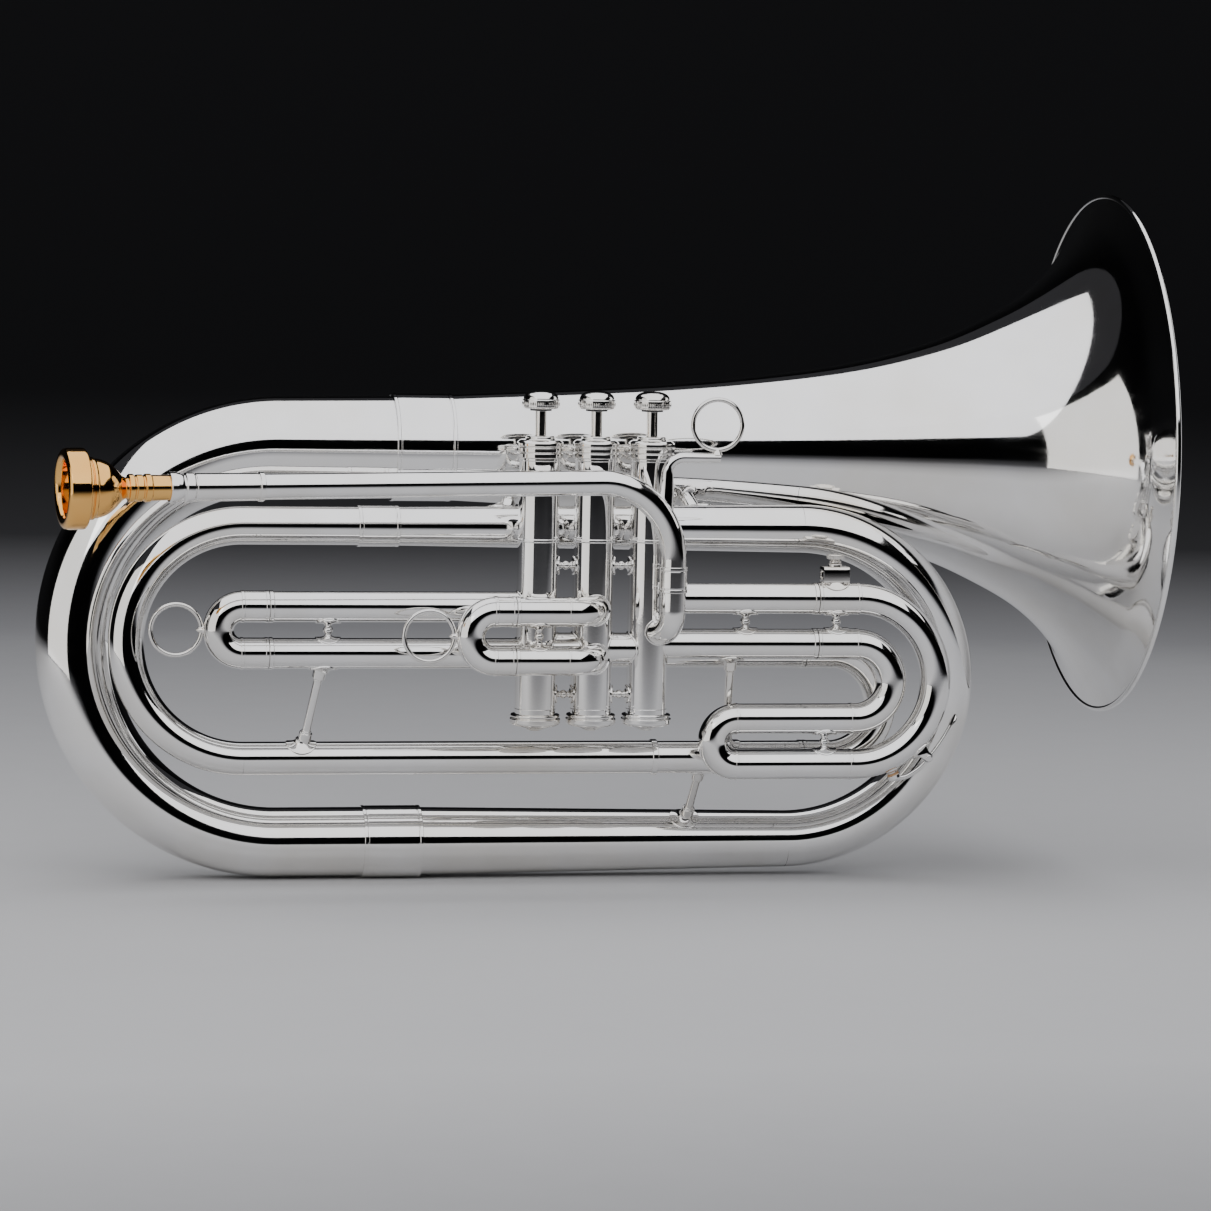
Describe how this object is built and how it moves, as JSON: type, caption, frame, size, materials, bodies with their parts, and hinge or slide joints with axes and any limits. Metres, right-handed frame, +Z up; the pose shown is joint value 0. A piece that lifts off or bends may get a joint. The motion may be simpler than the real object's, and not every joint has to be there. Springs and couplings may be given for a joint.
{
  "type": "marching baritone horn",
  "caption": "Silver-plated three-valve marching baritone horn with forward bell, pull-out slides, water key, lyre holder and gold mouthpiece.",
  "frame": {"origin": "on the axis of the second valve, half way up its casing, where the left hand wraps the valves", "axes": "+Z up along the valves towards the finger buttons, +X forward towards the bell, +Y sideways from the leadpipe towards the bell"},
  "size_m": [0.5369, 0.2739, 0.3409],
  "materials": {
    "silver_plate": "polished",
    "nickel_plate": "polished",
    "nickel_tube": "satin",
    "spring_wire": "satin",
    "gold_plate": "polished",
    "felt": "matte",
    "cork": "matte"
  },
  "bodies": {
    "body": {"bell_ferrule": "silver_plate", "bell_flare": "silver_plate", "bell_rim": "silver_plate", "bell_stem": "silver_plate", "body_braces": "silver_plate", "bottom_branch": "silver_plate", "bottom_caps": "silver_plate", "bow_ferrule": "silver_plate", "finger_hook": "silver_plate", "finger_hook_ring": "silver_plate", "inner_bow": "silver_plate", "leadpipe": "silver_plate", "leadpipe_elbow": "silver_plate", "lower_branch": "silver_plate", "main_slide_lower_tube": "silver_plate", "main_slide_upper_tube": "silver_plate", "middle_branch": "silver_plate", "mouthpiece_receiver": "silver_plate", "outer_bow": "silver_plate", "right_bow": "silver_plate", "slide1_outer_tubes": "silver_plate", "slide2_outer_tubes": "silver_plate", "slide3_outer_tubes": "silver_plate", "top_caps": "silver_plate", "tube_ferrules": "silver_plate", "valve_casing_1": "silver_plate", "valve_casing_2": "silver_plate", "valve_casing_3": "silver_plate", "valve_guides": "nickel_plate", "valve_knuckles": "silver_plate"},
    "valve_1": {"piston_1": "nickel_plate", "finger_button_1": "silver_plate", "piston_felts_1": "felt", "valve_spring_1": "spring_wire"},
    "valve_2": {"piston_2": "nickel_plate", "finger_button_2": "silver_plate", "piston_felts_2": "felt", "valve_spring_2": "spring_wire"},
    "valve_3": {"piston_3": "nickel_plate", "finger_button_3": "silver_plate", "piston_felts_3": "felt", "valve_spring_3": "spring_wire"},
    "slide_1": {"slide1_inner_tubes": "nickel_tube", "slide1_crook": "silver_plate", "slide1_ring": "silver_plate"},
    "slide_2": {"slide2_inner_tubes": "nickel_tube", "slide2_crook": "silver_plate", "slide2_ring": "silver_plate"},
    "slide_3": {"slide3_inner_tubes": "nickel_tube", "slide3_outer_bow": "silver_plate", "slide3_inner_bow": "silver_plate", "lyre_holder": "silver_plate", "water_key_saddle": "silver_plate"},
    "lyre_screw": {"lyre_screw": "silver_plate"},
    "water_key": {"water_key_lever": "silver_plate", "water_key_cork": "cork", "water_key_spring": "spring_wire"},
    "tuning_slide": {"main_slide_inner_tubes": "nickel_tube", "main_slide_crook": "silver_plate"},
    "mouthpiece": {"mouthpiece": "gold_plate"}
  },
  "joints": [
    {"name": "valve_1_press", "type": "slide", "parent": "body", "child": "valve_1", "axis": [0, 0, -1], "range_m": [0, 0.0116], "stiffness_N_per_m": 300, "springref_m": -0.012, "deforming": ["valve_spring_1"]},
    {"name": "valve_2_press", "type": "slide", "parent": "body", "child": "valve_2", "axis": [0, 0, -1], "range_m": [0, 0.0116], "stiffness_N_per_m": 300, "springref_m": -0.012, "deforming": ["valve_spring_2"]},
    {"name": "valve_3_press", "type": "slide", "parent": "body", "child": "valve_3", "axis": [0, 0, -1], "range_m": [0, 0.0116], "stiffness_N_per_m": 300, "springref_m": -0.012, "deforming": ["valve_spring_3"]},
    {"name": "slide_1_pull", "type": "slide", "parent": "body", "child": "slide_1", "axis": [-1, 0, 0], "range_m": [0, 0.06]},
    {"name": "slide_2_pull", "type": "slide", "parent": "body", "child": "slide_2", "axis": [-1, 0, 0], "range_m": [0, 0.018]},
    {"name": "slide_3_pull", "type": "slide", "parent": "body", "child": "slide_3", "axis": [1, 0, 0], "range_m": [0, 0.05]},
    {"name": "tuning_slide_pull", "type": "slide", "parent": "body", "child": "tuning_slide", "axis": [1, 0, 0], "range_m": [0, 0.024]},
    {"name": "mouthpiece_pull", "type": "slide", "parent": "body", "child": "mouthpiece", "axis": [-0.9914, -0.1305, -0.0087], "range_m": [0, 0.04]},
    {"name": "lyre_screw_turn", "type": "hinge", "parent": "slide_3", "child": "lyre_screw", "pos_m": [0.1198, 0, 0.0128], "axis": [0, 0, 1], "continuous": true},
    {"name": "water_key_press", "type": "hinge", "parent": "slide_3", "child": "water_key", "pos_m": [0.16849, 0, -0.08454], "axis": [0, -1, 0], "range_deg": [0, 8], "stiffness_Nm_per_rad": 0.03, "springref_deg": -17.19}
  ]
}
